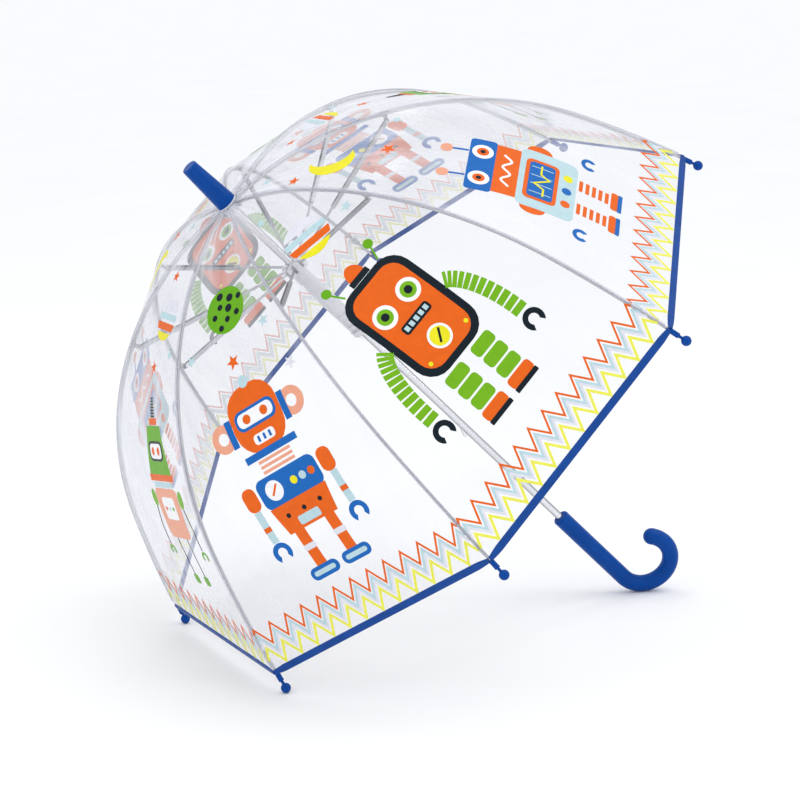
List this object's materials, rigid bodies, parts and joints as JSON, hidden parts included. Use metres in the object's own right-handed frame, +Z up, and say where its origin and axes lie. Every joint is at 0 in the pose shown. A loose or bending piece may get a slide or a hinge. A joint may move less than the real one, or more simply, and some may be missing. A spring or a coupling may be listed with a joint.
{
  "type": "children's umbrella",
  "caption": "Child's clear dome umbrella, open and lying on its rim tips and hook handle, with folding ribs and stretchers, a sliding runner and spring catches.",
  "frame": {"origin": "on the floor, under the middle of the open umbrella's bounding box", "axes": "+Z up; +X along the floor from the dome towards the handle, under the shaft, which rises towards the ferrule at 44.8 degrees; +Y across the dome"},
  "size_m": [0.599, 0.6798, 0.5585],
  "materials": {
    "clear_film": "clear, glossy film",
    "blue_plastic": "glossy, moulded",
    "binding_tape": "soft, folded tape",
    "pale_plastic": "translucent, satin",
    "steel": "plated, bright",
    "rib_metal": "galvanised, satin",
    "print_ink": "screen-printed in several colours"
  },
  "bodies": {
    "frame": {"shaft": "steel", "top_notch": "pale_plastic", "notch_wire": "steel", "notch_pin": "steel", "crown_washer": "pale_plastic", "ferrule_cap": "blue_plastic", "handle": "blue_plastic"},
    "upper_catch": {"upper_catch": "steel"},
    "lower_catch": {"lower_catch": "steel"},
    "runner": {"runner": "pale_plastic", "runner_wire": "steel"},
    "rib_1": {"rib_1": "rib_metal", "rivet_1": "steel", "tip_1": "blue_plastic"},
    "stretcher_1": {"stretcher_1": "rib_metal"},
    "gore_1_first": {"gore_1_first": "clear_film"},
    "gore_1_second": {"gore_1_second": "clear_film"},
    "rib_2": {"rib_2": "rib_metal", "rivet_2": "steel", "tip_2": "blue_plastic"},
    "stretcher_2": {"stretcher_2": "rib_metal"},
    "gore_2_first": {"gore_2_first": "clear_film"},
    "gore_2_second": {"gore_2_second": "clear_film"},
    "rib_3": {"rib_3": "rib_metal", "rivet_3": "steel", "tip_3": "blue_plastic"},
    "stretcher_3": {"stretcher_3": "rib_metal"},
    "gore_3_first": {"gore_3_first": "clear_film"},
    "gore_3_second": {"gore_3_second": "clear_film"},
    "rib_4": {"rib_4": "rib_metal", "rivet_4": "steel", "tip_4": "blue_plastic"},
    "stretcher_4": {"stretcher_4": "rib_metal"},
    "gore_4_first": {"gore_4_first": "clear_film"},
    "gore_4_second": {"gore_4_second": "clear_film"},
    "rib_5": {"rib_5": "rib_metal", "rivet_5": "steel", "tip_5": "blue_plastic"},
    "stretcher_5": {"stretcher_5": "rib_metal"},
    "gore_5_first": {"gore_5_first": "clear_film"},
    "gore_5_second": {"gore_5_second": "clear_film"},
    "rib_6": {"rib_6": "rib_metal", "rivet_6": "steel", "tip_6": "blue_plastic"},
    "stretcher_6": {"stretcher_6": "rib_metal"},
    "gore_6_first": {"gore_6_first": "clear_film"},
    "gore_6_second": {"gore_6_second": "clear_film"},
    "rib_7": {"rib_7": "rib_metal", "rivet_7": "steel", "tip_7": "blue_plastic"},
    "stretcher_7": {"stretcher_7": "rib_metal"},
    "gore_7_first": {"gore_7_first": "clear_film"},
    "gore_7_second": {"gore_7_second": "clear_film"},
    "rib_8": {"rib_8": "rib_metal", "rivet_8": "steel", "tip_8": "blue_plastic"},
    "stretcher_8": {"stretcher_8": "rib_metal"},
    "gore_8_first": {"gore_8_first": "clear_film"},
    "gore_8_second": {"gore_8_second": "clear_film"}
  },
  "joints": [
    {"name": "fold", "type": "hinge", "parent": "frame", "child": "rib_1", "pos_m": [-0.19749, -0.00344, 0.46684], "axis": [0.2697, 0.9239, 0.2715], "range_deg": [0, 47], "deforming": ["gore_1_first", "gore_1_second", "gore_2_first", "gore_2_second", "gore_3_first", "gore_3_second", "gore_4_first", "gore_4_second", "gore_5_first", "gore_5_second", "gore_6_first", "gore_6_second", "gore_7_first", "gore_7_second", "gore_8_first", "gore_8_second"]},
    {"name": "fold_rib_2", "type": "hinge", "parent": "frame", "child": "rib_2", "pos_m": [-0.19749, 0.00344, 0.46684], "axis": [-0.2697, 0.9239, -0.2715], "range_deg": [0, 47]},
    {"name": "fold_rib_3", "type": "hinge", "parent": "frame", "child": "rib_3", "pos_m": [-0.20092, 0.00831, 0.46339], "axis": [-0.651, 0.3827, -0.6556], "range_deg": [0, 47]},
    {"name": "fold_rib_4", "type": "hinge", "parent": "frame", "child": "rib_4", "pos_m": [-0.20578, 0.00831, 0.4585], "axis": [-0.651, -0.3827, -0.6556], "range_deg": [0, 47]},
    {"name": "fold_rib_5", "type": "hinge", "parent": "frame", "child": "rib_5", "pos_m": [-0.20921, 0.00344, 0.45504], "axis": [-0.2697, -0.9239, -0.2715], "range_deg": [0, 47]},
    {"name": "fold_rib_6", "type": "hinge", "parent": "frame", "child": "rib_6", "pos_m": [-0.20921, -0.00344, 0.45504], "axis": [0.2697, -0.9239, 0.2715], "range_deg": [0, 47]},
    {"name": "fold_rib_7", "type": "hinge", "parent": "frame", "child": "rib_7", "pos_m": [-0.20578, -0.00831, 0.4585], "axis": [0.651, -0.3827, 0.6556], "range_deg": [0, 47]},
    {"name": "fold_rib_8", "type": "hinge", "parent": "frame", "child": "rib_8", "pos_m": [-0.20092, -0.00831, 0.46339], "axis": [0.651, 0.3827, 0.6556], "range_deg": [0, 47]},
    {"name": "stretcher_1_hinge", "type": "hinge", "parent": "rib_1", "child": "stretcher_1", "pos_m": [-0.06013, -0.06474, 0.53897], "axis": [-0.2697, -0.9239, -0.2715], "range_deg": [0, 94]},
    {"name": "stretcher_2_hinge", "type": "hinge", "parent": "rib_2", "child": "stretcher_2", "pos_m": [-0.06013, 0.06474, 0.53897], "axis": [0.2697, -0.9239, 0.2715], "range_deg": [0, 94]},
    {"name": "stretcher_3_hinge", "type": "hinge", "parent": "rib_3", "child": "stretcher_3", "pos_m": [-0.12464, 0.15628, 0.47401], "axis": [0.651, -0.3827, 0.6556], "range_deg": [0, 94]},
    {"name": "stretcher_4_hinge", "type": "hinge", "parent": "rib_4", "child": "stretcher_4", "pos_m": [-0.21587, 0.15628, 0.38214], "axis": [0.651, 0.3827, 0.6556], "range_deg": [0, 94]},
    {"name": "stretcher_5_hinge", "type": "hinge", "parent": "rib_5", "child": "stretcher_5", "pos_m": [-0.28038, 0.06474, 0.31718], "axis": [0.2697, 0.9239, 0.2715], "range_deg": [0, 94]},
    {"name": "stretcher_6_hinge", "type": "hinge", "parent": "rib_6", "child": "stretcher_6", "pos_m": [-0.28038, -0.06474, 0.31718], "axis": [-0.2697, 0.9239, -0.2715], "range_deg": [0, 94]},
    {"name": "stretcher_7_hinge", "type": "hinge", "parent": "rib_7", "child": "stretcher_7", "pos_m": [-0.21587, -0.15628, 0.38214], "axis": [-0.651, 0.3827, -0.6556], "range_deg": [0, 94]},
    {"name": "stretcher_8_hinge", "type": "hinge", "parent": "rib_8", "child": "stretcher_8", "pos_m": [-0.12464, -0.15628, 0.47401], "axis": [-0.651, -0.3827, -0.6556], "range_deg": [0, 94]},
    {"name": "runner_hinge", "type": "hinge", "parent": "stretcher_1", "child": "runner", "pos_m": [-0.1313, -0.00344, 0.40112], "axis": [0.2697, 0.9239, 0.2715], "range_deg": [0, 47]},
    {"name": "gore_1_first_hinge", "type": "hinge", "parent": "rib_1", "child": "gore_1_first", "pos_m": [-0.19649, 0, 0.46785], "axis": [-0.3802, -0.6757, -0.6316], "range_deg": [0, 23.89]},
    {"name": "gore_1_second_hinge", "type": "hinge", "parent": "rib_2", "child": "gore_1_second", "pos_m": [-0.19649, 0, 0.46785], "axis": [0.3802, -0.6757, 0.6316], "range_deg": [0, 23.89]},
    {"name": "gore_2_first_hinge", "type": "hinge", "parent": "rib_2", "child": "gore_2_first", "pos_m": [-0.1985, 0.00689, 0.46583], "axis": [0.1042, -0.9841, -0.1437], "range_deg": [0, 23.89]},
    {"name": "gore_2_second_hinge", "type": "hinge", "parent": "rib_3", "child": "gore_2_second", "pos_m": [-0.1985, 0.00689, 0.46583], "axis": [0.5691, 0.0285, 0.8218], "range_deg": [0, 23.89]},
    {"name": "gore_3_first_hinge", "type": "hinge", "parent": "rib_3", "child": "gore_3_first", "pos_m": [-0.20335, 0.00974, 0.46094], "axis": [0.6004, -0.7161, 0.356], "range_deg": [0, 23.89]},
    {"name": "gore_3_second_hinge", "type": "hinge", "parent": "rib_4", "child": "gore_3_second", "pos_m": [-0.20335, 0.00974, 0.46094], "axis": [0.3518, 0.7161, 0.6029], "range_deg": [0, 23.89]},
    {"name": "gore_4_first_hinge", "type": "hinge", "parent": "rib_4", "child": "gore_4_first", "pos_m": [-0.20821, 0.00689, 0.45605], "axis": [0.8178, -0.0285, 0.5748], "range_deg": [0, 23.89]},
    {"name": "gore_4_second_hinge", "type": "hinge", "parent": "rib_5", "child": "gore_4_second", "pos_m": [-0.20821, 0.00689, 0.45605], "axis": [-0.1444, 0.9841, 0.1032], "range_deg": [0, 23.89]},
    {"name": "gore_5_first_hinge", "type": "hinge", "parent": "rib_5", "child": "gore_5_first", "pos_m": [-0.21022, 0, 0.45403], "axis": [0.6289, 0.6757, 0.3846], "range_deg": [0, 23.89]},
    {"name": "gore_5_second_hinge", "type": "hinge", "parent": "rib_6", "child": "gore_5_second", "pos_m": [-0.21022, 0, 0.45403], "axis": [-0.6289, 0.6757, -0.3846], "range_deg": [0, 23.89]},
    {"name": "gore_6_first_hinge", "type": "hinge", "parent": "rib_6", "child": "gore_6_first", "pos_m": [-0.20821, -0.00689, 0.45605], "axis": [0.1444, 0.9841, -0.1032], "range_deg": [0, 23.89]},
    {"name": "gore_6_second_hinge", "type": "hinge", "parent": "rib_7", "child": "gore_6_second", "pos_m": [-0.20821, -0.00689, 0.45605], "axis": [-0.8178, -0.0285, -0.5748], "range_deg": [0, 23.89]},
    {"name": "gore_7_first_hinge", "type": "hinge", "parent": "rib_7", "child": "gore_7_first", "pos_m": [-0.20335, -0.00974, 0.46094], "axis": [-0.3518, 0.7161, -0.6029], "range_deg": [0, 23.89]},
    {"name": "gore_7_second_hinge", "type": "hinge", "parent": "rib_8", "child": "gore_7_second", "pos_m": [-0.20335, -0.00974, 0.46094], "axis": [-0.6004, -0.7161, -0.356], "range_deg": [0, 23.89]},
    {"name": "gore_8_first_hinge", "type": "hinge", "parent": "rib_8", "child": "gore_8_first", "pos_m": [-0.1985, -0.00689, 0.46583], "axis": [-0.5691, 0.0285, -0.8218], "range_deg": [0, 23.89]},
    {"name": "gore_8_second_hinge", "type": "hinge", "parent": "rib_1", "child": "gore_8_second", "pos_m": [-0.1985, -0.00689, 0.46583], "axis": [-0.1042, -0.9841, 0.1437], "range_deg": [0, 23.89]},
    {"name": "upper_catch_press", "type": "slide", "parent": "frame", "child": "upper_catch", "axis": [0.7046, 0, 0.7096], "range_m": [0, 0.0034], "stiffness_N_per_m": 500},
    {"name": "lower_catch_press", "type": "slide", "parent": "frame", "child": "lower_catch", "axis": [0.7046, 0, 0.7096], "range_m": [0, 0.0034], "stiffness_N_per_m": 500}
  ],
  "couplings": [
    {"joint": "fold_rib_2", "follows": "fold", "ratio": 1},
    {"joint": "fold_rib_3", "follows": "fold", "ratio": 1},
    {"joint": "fold_rib_4", "follows": "fold", "ratio": 1},
    {"joint": "fold_rib_5", "follows": "fold", "ratio": 1},
    {"joint": "fold_rib_6", "follows": "fold", "ratio": 1},
    {"joint": "fold_rib_7", "follows": "fold", "ratio": 1},
    {"joint": "fold_rib_8", "follows": "fold", "ratio": 1},
    {"joint": "stretcher_1_hinge", "follows": "fold", "ratio": 2},
    {"joint": "stretcher_2_hinge", "follows": "fold", "ratio": 2},
    {"joint": "stretcher_3_hinge", "follows": "fold", "ratio": 2},
    {"joint": "stretcher_4_hinge", "follows": "fold", "ratio": 2},
    {"joint": "stretcher_5_hinge", "follows": "fold", "ratio": 2},
    {"joint": "stretcher_6_hinge", "follows": "fold", "ratio": 2},
    {"joint": "stretcher_7_hinge", "follows": "fold", "ratio": 2},
    {"joint": "stretcher_8_hinge", "follows": "fold", "ratio": 2},
    {"joint": "runner_hinge", "follows": "fold", "ratio": 1},
    {"joint": "gore_1_first_hinge", "follows": "fold", "ratio": 0.50836},
    {"joint": "gore_1_second_hinge", "follows": "fold", "ratio": 0.50836},
    {"joint": "gore_2_first_hinge", "follows": "fold", "ratio": 0.50836},
    {"joint": "gore_2_second_hinge", "follows": "fold", "ratio": 0.50836},
    {"joint": "gore_3_first_hinge", "follows": "fold", "ratio": 0.50836},
    {"joint": "gore_3_second_hinge", "follows": "fold", "ratio": 0.50836},
    {"joint": "gore_4_first_hinge", "follows": "fold", "ratio": 0.50836},
    {"joint": "gore_4_second_hinge", "follows": "fold", "ratio": 0.50836},
    {"joint": "gore_5_first_hinge", "follows": "fold", "ratio": 0.50836},
    {"joint": "gore_5_second_hinge", "follows": "fold", "ratio": 0.50836},
    {"joint": "gore_6_first_hinge", "follows": "fold", "ratio": 0.50836},
    {"joint": "gore_6_second_hinge", "follows": "fold", "ratio": 0.50836},
    {"joint": "gore_7_first_hinge", "follows": "fold", "ratio": 0.50836},
    {"joint": "gore_7_second_hinge", "follows": "fold", "ratio": 0.50836},
    {"joint": "gore_8_first_hinge", "follows": "fold", "ratio": 0.50836},
    {"joint": "gore_8_second_hinge", "follows": "fold", "ratio": 0.50836}
  ]
}
